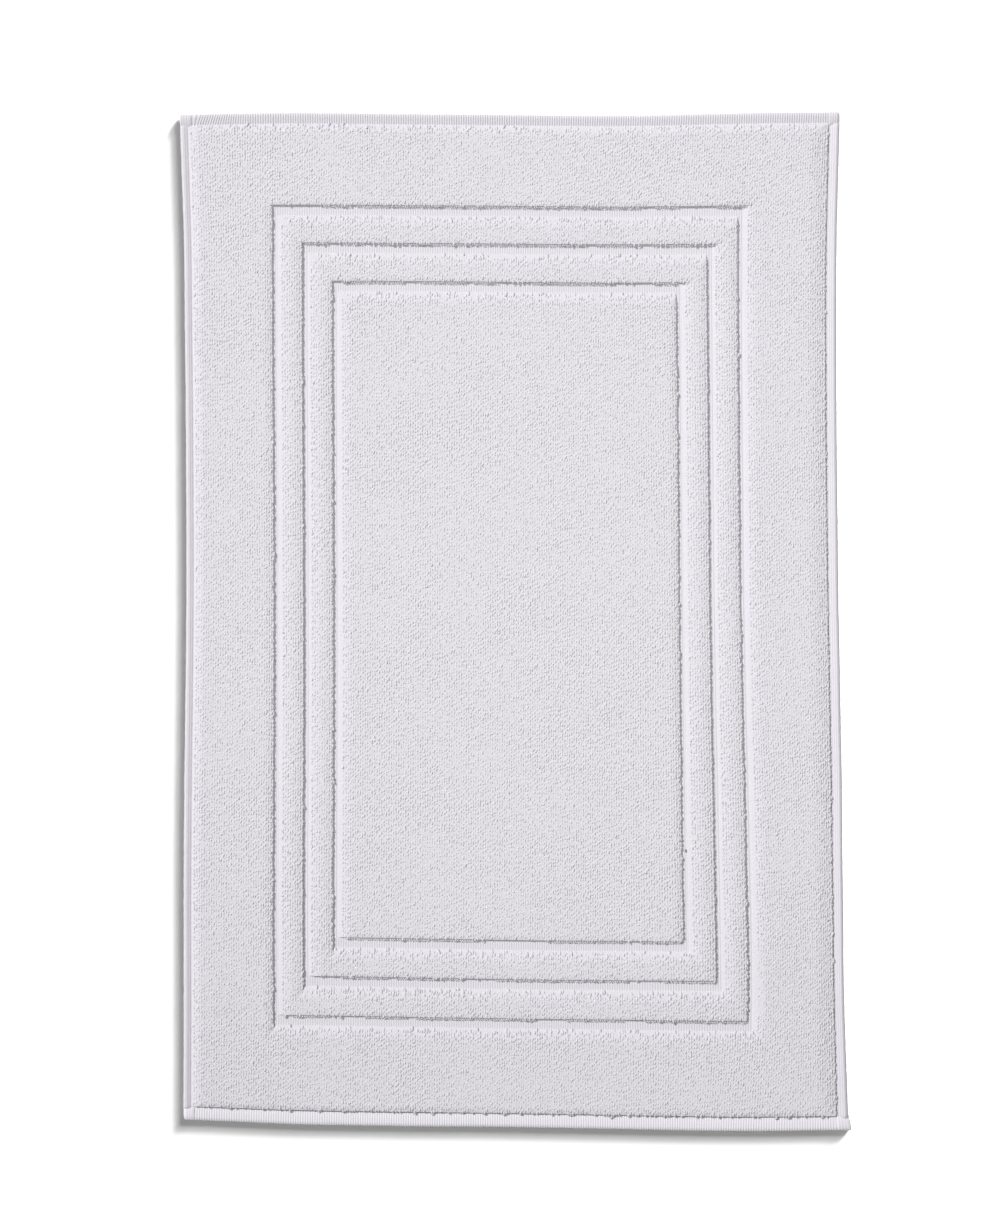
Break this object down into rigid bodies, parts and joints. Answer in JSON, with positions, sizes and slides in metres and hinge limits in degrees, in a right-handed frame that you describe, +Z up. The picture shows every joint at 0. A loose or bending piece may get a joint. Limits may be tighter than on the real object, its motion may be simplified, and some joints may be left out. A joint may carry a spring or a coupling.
{
  "type": "bath mat",
  "caption": "Rectangular woven cotton terry bath mat, pile on both faces, with recessed bare-woven frame lines and turned, stitched hems.",
  "frame": {"origin": "on the floor under the middle of the mat", "axes": "+Z up out of the face, +Y along the mat's length, +X across its width to the right"},
  "size_m": [0.559, 0.864, 0.0086],
  "materials": {
    "terry_pile": "matte looped cotton pile",
    "ground_weave": "matte flat-woven cotton with fine ribs along the warp",
    "hem_weave": "matte flat-woven cotton, ribbed on the end hems",
    "sewing_thread": "slightly glossy twisted sewing thread"
  },
  "bodies": {
    "root": {"ground_cloth": "ground_weave", "face_pile_border": "terry_pile", "face_pile_outer_band": "terry_pile", "face_pile_inner_band": "terry_pile", "face_pile_centre": "terry_pile", "back_pile_border": "terry_pile", "back_pile_outer_band": "terry_pile", "back_pile_inner_band": "terry_pile", "back_pile_centre": "terry_pile", "top_end_hem": "hem_weave", "bottom_end_hem": "hem_weave", "left_side_hem": "hem_weave", "right_side_hem": "hem_weave", "top_end_needle_thread": "sewing_thread", "top_end_bobbin_thread": "sewing_thread", "bottom_end_needle_thread": "sewing_thread", "bottom_end_bobbin_thread": "sewing_thread", "left_side_needle_thread": "sewing_thread", "left_side_bobbin_thread": "sewing_thread", "right_side_needle_thread": "sewing_thread", "right_side_bobbin_thread": "sewing_thread"}
  },
  "joints": []
}
